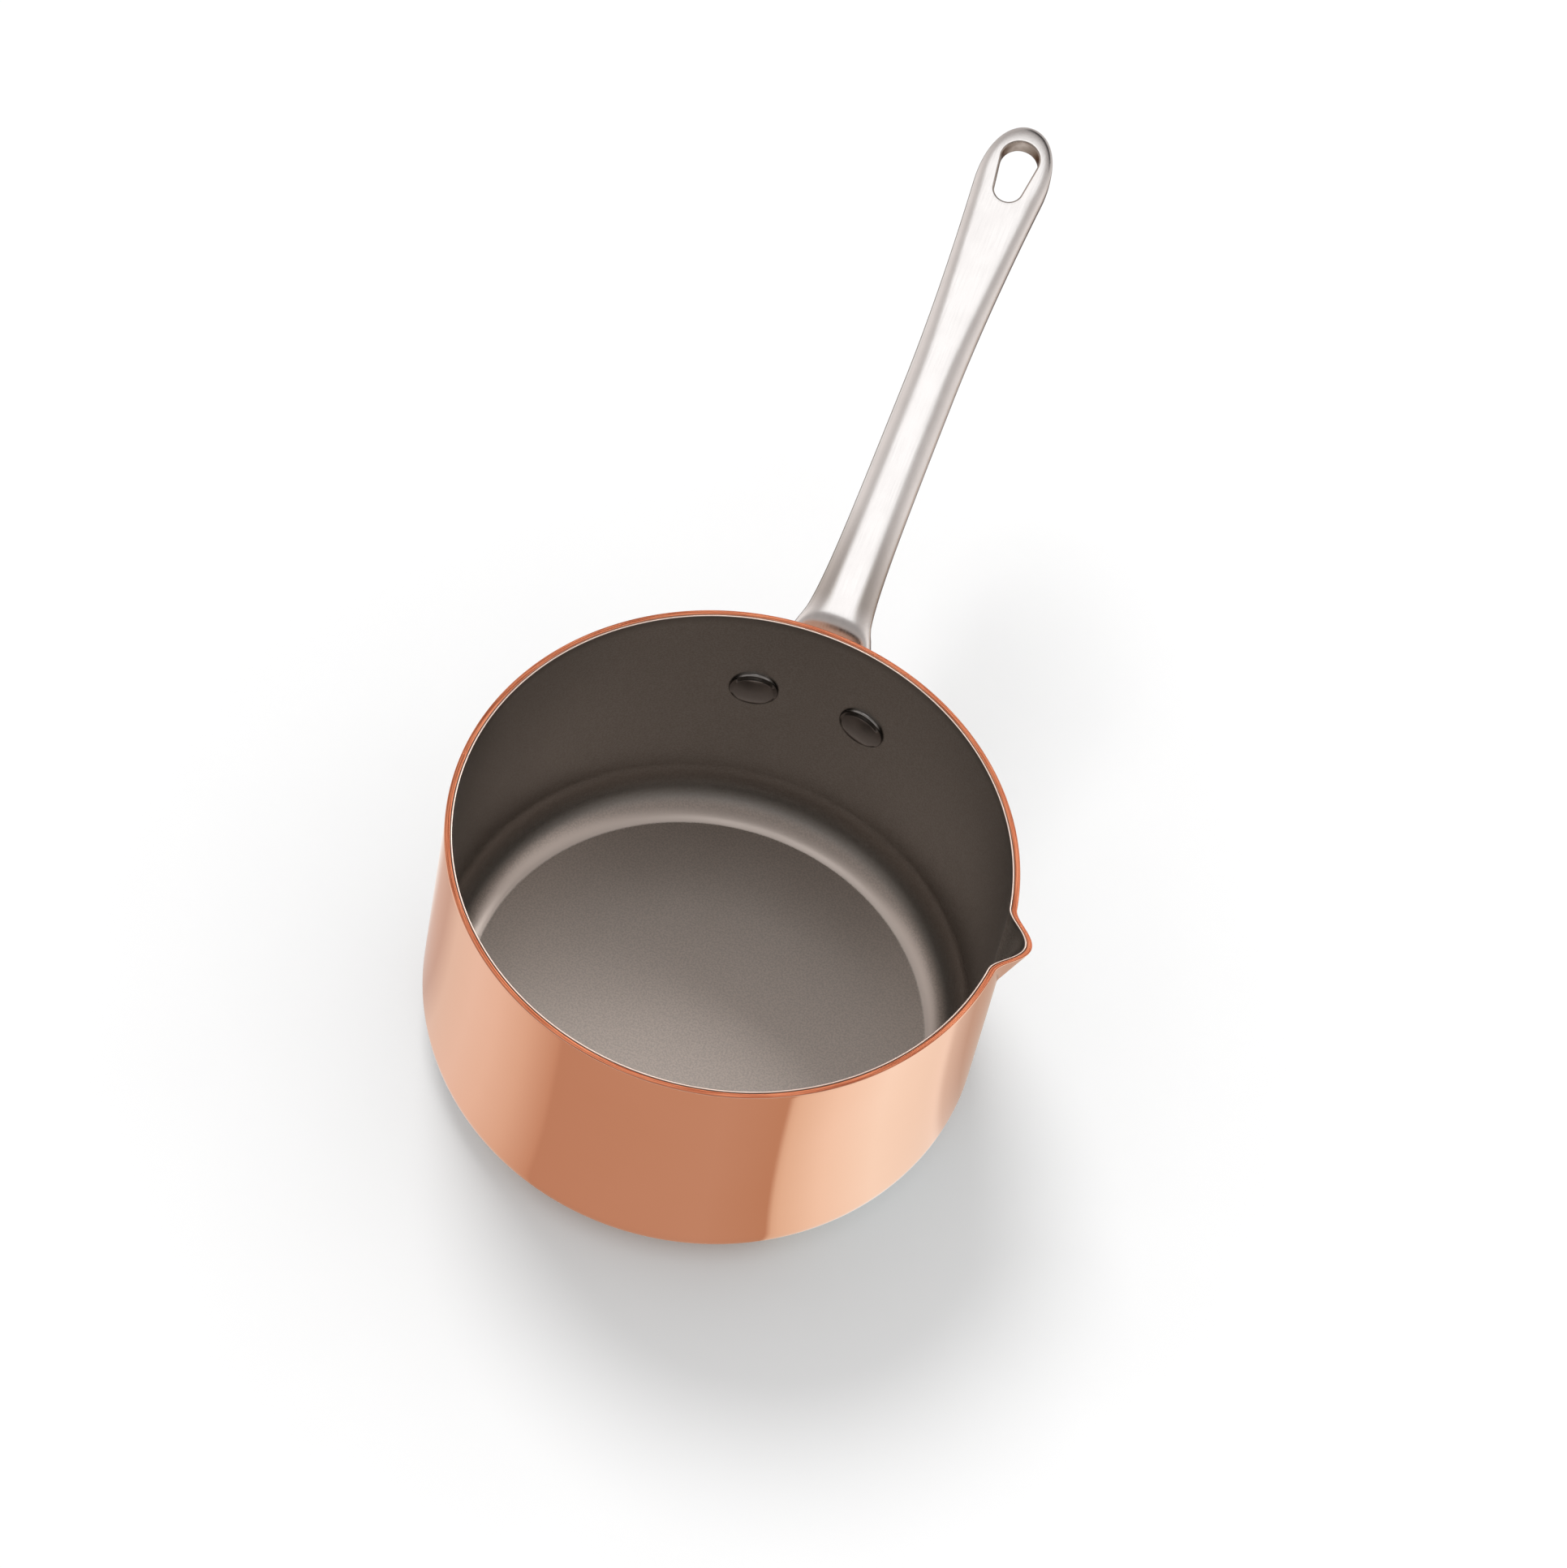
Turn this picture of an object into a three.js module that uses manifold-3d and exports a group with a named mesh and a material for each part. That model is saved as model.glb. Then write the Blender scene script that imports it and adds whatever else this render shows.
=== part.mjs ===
// A small copper saucepan: a copper bowl lined with stainless steel, with one pouring spout,
// and a cast stainless steel handle held on by two rivets.
// Millimetres, +Z up. The origin is the centre of the flat bottom, and the handle points along +Y.
import * as THREE from "three";
import { mergeVertices } from "three/addons/utils/BufferGeometryUtils.js";
import Module from "manifold-3d";

// Bowl
const INNER_RADIUS = 45;
const COPPER = 0.95; // thickness of the copper
const LINING = 0.28; // thickness of the steel lining
const SEAM = 0.06; // clearance between the two layers
const HEIGHT = 53.3;
const CORNER_RADIUS = 8.8; // outside, where the wall turns into the bottom
const WALL = COPPER + SEAM + LINING;
const OUTER_RADIUS = INNER_RADIUS + WALL;

// Pouring spout: a cone pushed out of the wall, widest at the rim and ending in a point below it
const SPOUT_ANGLE = THREE.MathUtils.degToRad(1.6); // from +X towards the handle
const SPOUT_HALF_WIDTH = THREE.MathUtils.degToRad(8);
const SPOUT_REACH = 3.9; // how far the lip stands out of the wall
const SPOUT_DEPTH = 12; // from the rim down to the cone's point

// Rivets, each on a line through the bowl's axis
const FIT = 0.1; // clearance kept between pieces that touch
const RIVET_ANGLE = THREE.MathUtils.degToRad(12.35); // either side of the handle
const RIVET_DROP = 19.4; // below the rim
const SHANK_RADIUS = 2.3;
const INNER_HEAD = { radius: 4.2, edge: 0.55, dome: 0.8 };
const OUTER_HEAD = { radius: 3.8, edge: 0.5, dome: 0.8 };

// Handle. Its face lies on the wall, then turns outwards and becomes the top of the grip.
// Lengths run along the face, from the flange's lower edge to the tip.
const FLANGE_RADIUS = OUTER_RADIUS + FIT;
const FLANGE_DROP = 25.6; // of the flange's lower edge below the rim
const FLANGE_LENGTH = 9.9; // lies on the wall
const FLANGE_THICKNESS = 2.4;
const FLANGE_CORNER = 5.9; // radius of the flange's two lower corners
const FLANGE_HALF_WIDTH = INNER_RADIUS * Math.sin(RIVET_ANGLE) + FLANGE_CORNER;
const LOWER_BEND = { radius: 5, turn: 40 }; // degrees, away from the bowl
const NECK_LENGTH = 6.6; // straight, between the bends
const UPPER_BEND = { radius: 6, turn: 32.2 };
const GRIP = { length: 94.8, turn: 3.4 }; // very slightly arched
const TIP_LENGTH = 12.8; // the last part of the grip, which rounds off
const WAIST_HALF_WIDTH = 4.45;
const FLARE_LENGTH = 7.8; // over which the flange's width falls by half
const FLARE_POWER = 2.6; // how suddenly it falls
const SWELL_START = 67; // the grip widens from here to the tip
const SWELL = 1.7; // gain in half width by the start of the tip's round end
const SWELL_POWER = 1.8; // how late it comes
const GRIP_CROWN = 2.2; // height of the face's middle above the edges
const GRIP_BELLY = 1.7; // depth of the underside below the edges
const NOSE = 2.2; // length over which the tip's thickness rounds off
const HEM_LENGTH = 1; // over which the flange's lower edge thickens
const HEM_SHARE = 0.6; // of the full thickness, at the edge itself
const SQUARENESS = { flange: 7, grip: 2.6, tip: 4.2 }; // of the section: 2 is an ellipse

// Hang hole: two round ends joined by straight sides, the wider one nearer the tip
const HOLE_START = 105.7; // centre of the narrow end
const HOLE_SPAN = 5.9; // between the two centres
const HOLE_RADII = [2.45, 3.25];

// Fineness of the surfaces
const BOWL_SEGMENTS = 72;
const SPOUT_CROWDING = 0.7; // share of the bowl's segment width given up at the spout
const CORNER_STEPS = 5;
const SPOUT_ROWS = 6;
const HANDLE_SEGMENTS = 24;
const HANDLE_STEPS = { flange: 9, lowerBend: 4, neck: 4, upperBend: 5, grip: 20, tip: 11 };
const LAST_STATION_GAP = 0.03; // the last section's distance from the tip, where the width is nil
const RIVET_SEGMENTS = 28;
const DOME_STEPS = 4;
const CUTTER_SEGMENTS = 160;
const HOLE_SEGMENTS = 12;

const NEARLY_NOTHING = 1e-6;
const QUARTER_TURN = Math.PI / 2;
const MERGE_DISTANCE = 1e-5;
const wasm = await Module();
wasm.setup();

// A closed geometry as a solid that can be joined and cut.
function solid(geometry) {
  const bare = geometry.clone();
  bare.deleteAttribute("normal");
  bare.deleteAttribute("uv");
  const merged = mergeVertices(bare, MERGE_DISTANCE);
  const corners = merged.index.array;
  const triVerts = [];
  for (let i = 0; i < corners.length; i += 3) {
    const [a, b, c] = corners.slice(i, i + 3);
    if (a !== b && b !== c && c !== a) triVerts.push(a, b, c);
  }
  const vertProperties = merged.attributes.position.array;
  return new wasm.Manifold(
    new wasm.Mesh({ numProp: 3, vertProperties, triVerts: new Uint32Array(triVerts) }),
  );
}

// A solid as a named mesh with a material of its own.
function mesh(name, shape, look) {
  const { vertProperties, triVerts } = shape.getMesh();
  const geometry = new THREE.BufferGeometry();
  geometry.setAttribute("position", new THREE.BufferAttribute(vertProperties, 3));
  geometry.setIndex(new THREE.BufferAttribute(triVerts, 1));
  geometry.computeVertexNormals();
  const made = new THREE.Mesh(geometry, new THREE.MeshStandardMaterial(look));
  made.name = name;
  return made;
}

// Moves every vertex of a geometry by a function that changes the vector it is given.
function warp(geometry, move) {
  const positions = geometry.attributes.position;
  const point = new THREE.Vector3();
  for (let i = 0; i < positions.count; i++) {
    move(point.fromBufferAttribute(positions, i));
    positions.setXYZ(i, point.x, point.y, point.z);
  }
  return geometry;
}

// ---- Bowl ----

// Half of the bowl's cross-section on the surface at a depth inside the copper's outer face.
function surfaceProfile(depth) {
  const bend = CORNER_RADIUS - depth;
  const points = [new THREE.Vector2(0, depth)];
  for (let i = 0; i <= CORNER_STEPS; i++) {
    const angle = (i / CORNER_STEPS) * QUARTER_TURN;
    points.push(
      new THREE.Vector2(
        OUTER_RADIUS - CORNER_RADIUS + bend * Math.sin(angle),
        CORNER_RADIUS - bend * Math.cos(angle),
      ),
    );
  }
  for (let i = 0; i <= SPOUT_ROWS; i++) {
    const height = HEIGHT - SPOUT_DEPTH * (1 - i / SPOUT_ROWS);
    points.push(new THREE.Vector2(OUTER_RADIUS - depth, height));
  }
  return points;
}

// How far the spout pushes the wall out, at an angle from the spout's middle and a height.
function spoutPush(angle, height) {
  const rise = THREE.MathUtils.clamp(1 - (HEIGHT - height) / SPOUT_DEPTH, 0, 1);
  const side = Math.abs(angle) / (SPOUT_HALF_WIDTH * Math.max(rise, NEARLY_NOTHING));
  return side < 1 ? (SPOUT_REACH * rise * (1 + Math.cos(Math.PI * side))) / 2 : 0;
}

// What the bowl's surface at a depth encloses, filled up to a height at or above the rim.
// Its segments crowd together at the spout, so that the spout's curves come out smooth.
function filledBowl(depth, top) {
  const profile = surfaceProfile(depth);
  if (top > HEIGHT) profile.push(new THREE.Vector2(OUTER_RADIUS - depth, top));
  profile.push(new THREE.Vector2(0, top));
  const geometry = new THREE.LatheGeometry(profile, BOWL_SEGMENTS).rotateX(QUARTER_TURN);
  geometry.rotateZ(QUARTER_TURN);
  warp(geometry, (point) => {
    const radius = Math.hypot(point.x, point.y);
    if (radius < FIT) return;
    const even = Math.atan2(point.y, point.x);
    const angle = even - SPOUT_CROWDING * Math.sin(even);
    const pushed = radius + spoutPush(angle, point.z);
    point.x = pushed * Math.cos(angle + SPOUT_ANGLE);
    point.y = pushed * Math.sin(angle + SPOUT_ANGLE);
  });
  return solid(geometry);
}

// One layer of the bowl, between two depths inside the copper's outer face.
function bowlLayer(outside, inside) {
  return filledBowl(outside, HEIGHT).subtract(filledBowl(inside, HEIGHT + 1));
}

// ---- Rivets ----

// A solid of revolution on a rivet's line. Its profile is [radius, distance from the bowl's axis].
function onRivetLine(profile, side) {
  const points = profile.map(([radius, distance]) => new THREE.Vector2(radius, distance));
  const turned = new THREE.LatheGeometry(points, RIVET_SEGMENTS);
  return solid(turned.translate(0, 0, HEIGHT - RIVET_DROP).rotateZ(side * RIVET_ANGLE));
}

// A cylinder round the bowl's axis.
function bowlCylinder(radius) {
  const cylinder = new THREE.CylinderGeometry(radius, radius, 2 * HEIGHT, CUTTER_SEGMENTS);
  return solid(cylinder.rotateX(QUARTER_TURN));
}

// A low round dome standing on a straight edge, from its seat to its top, towards +1 or -1.
function headProfile({ radius, edge, dome }, seat, towards) {
  const domeRadius = (radius ** 2 + dome ** 2) / (2 * dome);
  const reach = Math.asin(radius / domeRadius);
  const points = [[radius, seat + towards * edge]];
  for (let i = 1; i <= DOME_STEPS; i++) {
    const angle = reach * (1 - i / DOME_STEPS);
    const height = edge + dome - domeRadius * (1 - Math.cos(angle));
    points.push([domeRadius * Math.sin(angle), seat + towards * height]);
  }
  return points;
}

// A plain rod, between two distances from the bowl's axis.
function rodProfile(radius, start, end) {
  return [
    [0, start],
    [radius, start],
    [radius, end],
    [0, end],
  ];
}

// The shank runs through lining, copper and flange, and both heads are pressed to the curves.
function rivet(side) {
  const innerSeat = INNER_RADIUS - FIT;
  const outerSeat = FLANGE_RADIUS + FLANGE_THICKNESS + 2 * FIT;
  const innerHead = [
    ...headProfile(INNER_HEAD, innerSeat, -1).reverse(),
    [INNER_HEAD.radius, OUTER_RADIUS],
    [0, OUTER_RADIUS],
  ];
  const outerHead = [
    [0, INNER_RADIUS],
    [OUTER_HEAD.radius, INNER_RADIUS],
    ...headProfile(OUTER_HEAD, outerSeat, 1),
  ];
  return onRivetLine(rodProfile(SHANK_RADIUS, innerSeat - FIT, outerSeat + FIT), side)
    .add(onRivetLine(innerHead, side).intersect(bowlCylinder(innerSeat)))
    .add(onRivetLine(outerHead, side).subtract(bowlCylinder(outerSeat)));
}

// The space round a rivet's shank, cut through everything it passes.
function rivetHole(side) {
  const end = FLANGE_RADIUS + 2 * FLANGE_THICKNESS;
  return onRivetLine(rodProfile(SHANK_RADIUS + FIT, INNER_RADIUS - FLANGE_THICKNESS, end), side);
}

const rivetSides = [1, -1];
const cutRivetHoles = (shape) =>
  rivetSides.reduce((cut, side) => cut.subtract(rivetHole(side)), shape);

// ---- Handle ----

// The face seen from the side, as runs that follow one another.
const bendRun = ({ radius, turn }, steps) => {
  const angle = THREE.MathUtils.degToRad(turn);
  return { length: radius * angle, turn: angle, steps };
};
const faceRuns = [
  { length: FLANGE_LENGTH, turn: 0, steps: HANDLE_STEPS.flange },
  bendRun(LOWER_BEND, HANDLE_STEPS.lowerBend),
  { length: NECK_LENGTH, turn: 0, steps: HANDLE_STEPS.neck },
  bendRun(UPPER_BEND, HANDLE_STEPS.upperBend),
  { length: GRIP.length, turn: THREE.MathUtils.degToRad(GRIP.turn), steps: 0 },
];
const handleLength = faceRuns.reduce((sum, run) => sum + run.length, 0);
const tipStart = handleLength - TIP_LENGTH;
const gripStart = handleLength - GRIP.length;

// The place and the heading of the face at a length along it.
function faceAt(length) {
  const place = { y: FLANGE_RADIUS, z: HEIGHT - FLANGE_DROP, heading: QUARTER_TURN };
  let left = length;
  for (const run of faceRuns) {
    const gone = Math.min(left, run.length);
    const turned = (run.turn * gone) / run.length;
    if (turned === 0) {
      place.y += gone * Math.cos(place.heading);
      place.z += gone * Math.sin(place.heading);
    } else {
      const radius = gone / turned;
      const next = place.heading - turned;
      place.y += radius * (Math.sin(place.heading) - Math.sin(next));
      place.z += radius * (Math.cos(next) - Math.cos(place.heading));
      place.heading = next;
    }
    left -= gone;
  }
  return place;
}

// Runs smoothly from 0 to 1 between two lengths along the handle.
const blend = (length, from, to) => THREE.MathUtils.smoothstep(length, from, to);
const { lerp } = THREE.MathUtils;
const quarterRound = (share) => Math.sqrt(Math.max(0, 1 - (1 - share) ** 2));

// The handle's section at a length along it.
function sectionAt(length) {
  const past = Math.max(0, length - FLANGE_CORNER);
  const flare = 1 / (1 + (past / FLARE_LENGTH) ** FLARE_POWER);
  const swell = Math.max(0, (length - SWELL_START) / (tipStart - SWELL_START)) ** SWELL_POWER;
  const corner = FLANGE_CORNER * (1 - quarterRound(Math.min(1, length / FLANGE_CORNER)));
  const pastTip = Math.max(0, length - tipStart) / TIP_LENGTH;
  const tip = Math.sqrt(Math.max(0, 1 - pastTip ** 2));
  const width = lerp(WAIST_HALF_WIDTH, FLANGE_HALF_WIDTH, flare) + SWELL * swell;
  const onGrip = blend(length, FLANGE_LENGTH, gripStart);
  const nose = quarterRound(Math.min(1, (handleLength - length) / NOSE));
  const hem = lerp(HEM_SHARE, 1, quarterRound(Math.min(1, length / HEM_LENGTH)));
  const squareness = lerp(SQUARENESS.flange, SQUARENESS.grip, onGrip);
  const towardsTip = blend(length, SWELL_START, tipStart);
  return {
    halfWidth: (width - corner) * tip,
    crown: lerp(FLANGE_THICKNESS / 2, GRIP_CROWN, onGrip) * hem * nose,
    belly: lerp(FLANGE_THICKNESS / 2, GRIP_BELLY, onGrip) * hem * nose,
    middle: lerp(FLANGE_THICKNESS / 2, GRIP_CROWN, onGrip),
    squareness: squareness + (SQUARENESS.tip - SQUARENESS.grip) * towardsTip,
    wrap: 1 - onGrip,
  };
}

// The lengths at which the handle has a section.
function stationLengths() {
  const lengths = [0];
  let start = 0;
  for (const { length, steps } of faceRuns) {
    for (let i = 1; i <= steps; i++) lengths.push(start + (length * i) / steps);
    start += length;
  }
  for (let i = 1; i <= HANDLE_STEPS.grip; i++) {
    lengths.push(lerp(gripStart, tipStart, i / HANDLE_STEPS.grip));
  }
  for (let i = 1; i < HANDLE_STEPS.tip; i++) {
    lengths.push(tipStart + TIP_LENGTH * Math.sin((QUARTER_TURN * i) / HANDLE_STEPS.tip));
  }
  return [...lengths, handleLength - LAST_STATION_GAP];
}

// A cylinder's grid moved onto the handle's sections.
function handleBody() {
  const lengths = stationLengths();
  const rows = lengths.length - 1;
  const grid = new THREE.CylinderGeometry(1, 1, 1, HANDLE_SEGMENTS, rows);
  warp(grid, (point) => {
    const length = lengths[Math.round((point.y + 0.5) * rows)];
    const { halfWidth, crown, belly, middle, squareness, wrap } = sectionAt(length);
    const onEdge = Math.hypot(point.x, point.z) > 0.5;
    const x = halfWidth * point.x;
    const share = Math.min(1, Math.abs(point.x));
    const full = onEdge ? (1 - share ** squareness) ** (1 / squareness) : 0;
    const height = point.z > 0 ? crown * full : -belly * full;
    const wrapped = wrap * (FLANGE_RADIUS - Math.sqrt(FLANGE_RADIUS ** 2 - x ** 2));
    const up = height - middle + wrapped;
    const { y, z, heading } = faceAt(length);
    point.set(x, y - up * Math.sin(heading), z + up * Math.cos(heading));
  });
  return solid(grid);
}

// The space of the hang hole, square to the face.
function hangHole() {
  const [narrow, wide] = HOLE_RADII;
  const lean = Math.asin((wide - narrow) / HOLE_SPAN);
  const outline = new THREE.Shape();
  outline.absarc(0, 0, narrow, Math.PI + lean, -lean, false);
  outline.absarc(0, HOLE_SPAN, wide, -lean, Math.PI + lean, false);
  const depth = 3 * (GRIP_CROWN + GRIP_BELLY);
  const cutter = new THREE.ExtrudeGeometry(outline, {
    depth,
    bevelEnabled: false,
    curveSegments: HOLE_SEGMENTS,
  });
  const { y, z, heading } = faceAt(HOLE_START);
  const across = new THREE.Vector3(1, 0, 0);
  const along = new THREE.Vector3(0, Math.cos(heading), Math.sin(heading));
  const up = new THREE.Vector3().crossVectors(across, along);
  const frame = new THREE.Matrix4().makeBasis(across, along, up).setPosition(0, y, z);
  return solid(cutter.translate(0, 0, -depth / 2).applyMatrix4(frame));
}

// ---- Assembly ----

const steel = { color: 0xd8d2ca, metalness: 1 };
const bowl = new THREE.Group();
bowl.add(
  mesh("copper_shell", cutRivetHoles(bowlLayer(0, COPPER)), {
    color: 0xd98f6a,
    metalness: 1,
    roughness: 0.18,
  }),
  mesh("steel_lining", cutRivetHoles(bowlLayer(COPPER + SEAM, WALL)), {
    ...steel,
    roughness: 0.42,
  }),
);

const saucepan = new THREE.Group();
saucepan.add(
  bowl,
  mesh("handle", cutRivetHoles(handleBody()).subtract(hangHole()), {
    ...steel,
    roughness: 0.25,
  }),
  mesh("rivet_left", rivet(1), { ...steel, roughness: 0.3 }),
  mesh("rivet_right", rivet(-1), { ...steel, roughness: 0.3 }),
);

export default saucepan;
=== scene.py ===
"""A small copper saucepan lined with stainless steel, with a cast steel handle held by two rivets.

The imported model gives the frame: the origin is the centre of the flat bottom, +Z is up and the
handle points along +Y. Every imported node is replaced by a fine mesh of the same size.
"""

from math import asin, cos, hypot, pi, radians, sin, sqrt

import bpy
import numpy as np
from mathutils import Matrix, Vector


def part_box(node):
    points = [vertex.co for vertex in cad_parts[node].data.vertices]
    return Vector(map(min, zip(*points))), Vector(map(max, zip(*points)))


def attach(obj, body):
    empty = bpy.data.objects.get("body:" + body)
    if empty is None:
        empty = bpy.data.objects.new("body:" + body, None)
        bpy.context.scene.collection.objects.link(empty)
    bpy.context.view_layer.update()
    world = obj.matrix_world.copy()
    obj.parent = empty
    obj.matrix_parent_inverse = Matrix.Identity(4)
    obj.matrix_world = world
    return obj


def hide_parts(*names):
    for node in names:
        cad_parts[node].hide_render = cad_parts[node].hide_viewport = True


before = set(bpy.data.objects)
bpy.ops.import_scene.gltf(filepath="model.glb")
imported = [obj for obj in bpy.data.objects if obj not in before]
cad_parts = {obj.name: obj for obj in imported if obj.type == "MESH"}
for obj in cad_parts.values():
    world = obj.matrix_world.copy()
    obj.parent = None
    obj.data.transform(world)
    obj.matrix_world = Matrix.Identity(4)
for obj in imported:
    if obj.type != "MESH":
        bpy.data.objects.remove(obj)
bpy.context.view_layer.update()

MM = 0.001

# ---- Sizes, in millimetres ----

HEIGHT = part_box("copper_shell")[1].z / MM
INNER_RADIUS = 45.0
COPPER = 0.95
SEAM = 0.02  # hair line between the copper and its lining
LINING = 0.32
WALL = COPPER + SEAM + LINING
OUTER_RADIUS = INNER_RADIUS + WALL
CORNER_RADIUS = 8.8
RIM_ROUND = 0.22  # the copper's two rim edges
LINING_ROUND = 0.15  # the lining's two rim edges
INSIDE_CORNER_RADIUS = 9.0
FLOOR_KINK = 16  # degrees, where the lining's inside corner meets its floor

SPOUT_ANGLE = radians(1.6)  # from +X towards the handle
SPOUT_HALF_WIDTH = radians(8)  # at the rim
SPOUT_REACH = 3.9  # how far its lip stands out of the wall
SPOUT_DEPTH = 12.0  # from the rim's top down the wall

FIT = 0.1  # round the rivets and behind the flange
RIVET_ANGLE = radians(12.35)  # either side of the handle's line
RIVET_DROP = 19.4  # below the rim's top
SHANK_RADIUS = 2.3
INNER_HEAD = (4.2, 0.55, 0.8)  # radius, height of its edge, and of its dome over that
OUTER_HEAD = (3.8, 0.5, 0.8)
HEAD_ROLL = 0.45  # radius of a head's rolled edge

FLANGE_RADIUS = OUTER_RADIUS + FIT
FLANGE_DROP = 25.6  # of its lower edge, below the rim's top
FLANGE_LENGTH = 9.9
FLANGE_THICKNESS = 2.4
FLANGE_CORNER = 5.9
FLANGE_HALF_WIDTH = INNER_RADIUS * sin(RIVET_ANGLE) + FLANGE_CORNER
LOWER_BEND = (5.0, 40.0)  # radius, degrees
NECK_LENGTH = 6.6
UPPER_BEND = (6.0, 32.2)  # as above
GRIP_LENGTH = 94.8
GRIP_TURN = 3.4  # degrees over its length
TIP_LENGTH = 12.8
WAIST_HALF_WIDTH = 4.45
FLARE_LENGTH = 7.8  # past its corners, where the flange has half narrowed to the waist
FLARE_POWER = 2.6
SWELL_START = 67.0  # along the handle, where the grip starts to widen
SWELL = 1.7  # how much wider each side is where the tip starts
SWELL_POWER = 1.8
GRIP_CROWN = 2.2  # height of its top over its edges
GRIP_BELLY = 1.7  # and depth of its underside
FLANGE_SQUARENESS = 7.0  # powers of the section's curve: the higher, the squarer
GRIP_SQUARENESS = 2.6
TIP_SQUARENESS = 4.2
END_SQUARENESS = 8.0

HOLE_START = 105.7  # along the handle, the centre of the hang hole's narrow end
HOLE_SPAN = 5.9  # from there to the centre of its wide end
HOLE_RADII = (2.45, 3.25)
HOLE_ROUND = 0.35  # the hole's two edges

# ---- Small helpers ----


def clamp(value):
    """Keeps a value between 0 and 1."""
    return max(0.0, min(1.0, value))


def lerp(start, end, share):
    """The value a share of the way from start to end."""
    return start + (end - start) * share


def smoothstep(value, start, end):
    """Goes smoothly from 0 to 1 as a value goes from start to end."""
    share = clamp((value - start) / (end - start))
    return share * share * (3 - 2 * share)


def quarter_round(share):
    """Height of a quarter circle, from 0 to 1, at a share of its width."""
    return sqrt(max(0.0, 1 - (1 - share) ** 2))


def arc(centre, radius, start, end, steps):
    """Points on an arc from one angle to another, in degrees."""
    turns = [radians(lerp(start, end, i / steps)) for i in range(steps + 1)]
    return [(centre[0] + radius * cos(t), centre[1] + radius * sin(t)) for t in turns]


def spaced(start, end, steps):
    """Values after start, up to and with end."""
    return [lerp(start, end, (i + 1) / steps) for i in range(steps)]


def mesh_object(name, vertices, faces, uvs=None):
    """A smooth-shaded mesh from vertices in millimetres; uvs holds one pair per vertex."""
    mesh = bpy.data.meshes.new(name)
    mesh.from_pydata([tuple(c * MM for c in v) for v in vertices], [], faces)
    mesh.validate()
    mesh.polygons.foreach_set("use_smooth", [True] * len(mesh.polygons))
    if uvs is not None:
        layer = mesh.uv_layers.new(name="surface")
        corners = np.empty(len(mesh.loops), int)
        mesh.loops.foreach_get("vertex_index", corners)
        layer.uv.foreach_set("vector", np.array(uvs, float)[corners].ravel())
    made = bpy.data.objects.new(name, mesh)
    bpy.context.scene.collection.objects.link(made)
    return made


def cut(piece, cutters):
    """Cuts the cutters out of the piece and removes them."""
    for cutter in cutters:
        modifier = piece.modifiers.new("cut", "BOOLEAN")
        modifier.operation = "DIFFERENCE"
        modifier.solver = "EXACT"
        modifier.object = cutter
    result = piece.evaluated_get(bpy.context.evaluated_depsgraph_get())
    mesh = bpy.data.meshes.new_from_object(result)
    piece.modifiers.clear()
    piece.data = mesh
    for cutter in cutters:
        bpy.data.objects.remove(cutter)


# ---- Camera ----

VIEW_AZIMUTH = radians(8.4)
VIEW_ELEVATION = radians(55.63)
VIEW_ROLL = radians(13.19)
VIEW_DISTANCE = 911.3
LENS = 131.2
RIM_OFF_AXIS = (-7.9, -10.1)  # of the rim's centre, to the right of and above the lens's axis


def make_camera():
    """The photo's camera, aimed by its direction from the rim's centre."""
    back = Vector((sin(VIEW_AZIMUTH) * cos(VIEW_ELEVATION),
                   -cos(VIEW_AZIMUTH) * cos(VIEW_ELEVATION), sin(VIEW_ELEVATION)))
    level = Vector((cos(VIEW_AZIMUTH), sin(VIEW_AZIMUTH), 0))
    rise = back.cross(level)
    right = level * cos(VIEW_ROLL) + rise * sin(VIEW_ROLL)
    above = rise * cos(VIEW_ROLL) - level * sin(VIEW_ROLL)
    rim = Vector((0, 0, HEIGHT))
    place = rim + back * VIEW_DISTANCE - right * RIM_OFF_AXIS[0] - above * RIM_OFF_AXIS[1]
    turn = Matrix((right, above, back)).transposed()
    camera = bpy.data.objects.new("camera", bpy.data.cameras.new("camera"))
    camera.matrix_world = Matrix.Translation(place * MM) @ turn.to_4x4()
    camera.data.lens = LENS
    bpy.context.scene.collection.objects.link(camera)
    bpy.context.scene.camera = camera


# ---- Bowl ----

BOWL_SEGMENTS = 480
SPOUT_CROWDING = 0.7  # how much closer the segments stand at the spout
CORNER_STEPS = 28
WALL_STEPS = 16  # under the spout
SPOUT_STEPS = 24  # over its height
RIM_STEPS = 6  # round each rim edge, and across between them
KINK_EDGE = 0.4  # degrees of the inside corner that keep its edge crisp
FLAT_SHARES = [i / 14 for i in range(1, 14)] + [0.998]  # of the flat's radius


def spout_push(angle, height):
    """How far the spout pushes the wall out, at an angle from its middle and a height."""
    rise = clamp(1 - (HEIGHT - height) / SPOUT_DEPTH)
    side = abs(angle) / (SPOUT_HALF_WIDTH * max(rise, 1e-6))
    return SPOUT_REACH * rise * (1 + cos(pi * side)) / 2 if side < 1 else 0.0


def corner(depth):
    """The bowl's corner, at a depth inside the copper's outer face."""
    centre = (OUTER_RADIUS - CORNER_RADIUS, CORNER_RADIUS)
    return arc(centre, CORNER_RADIUS - depth, -90, 0, CORNER_STEPS)


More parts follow.
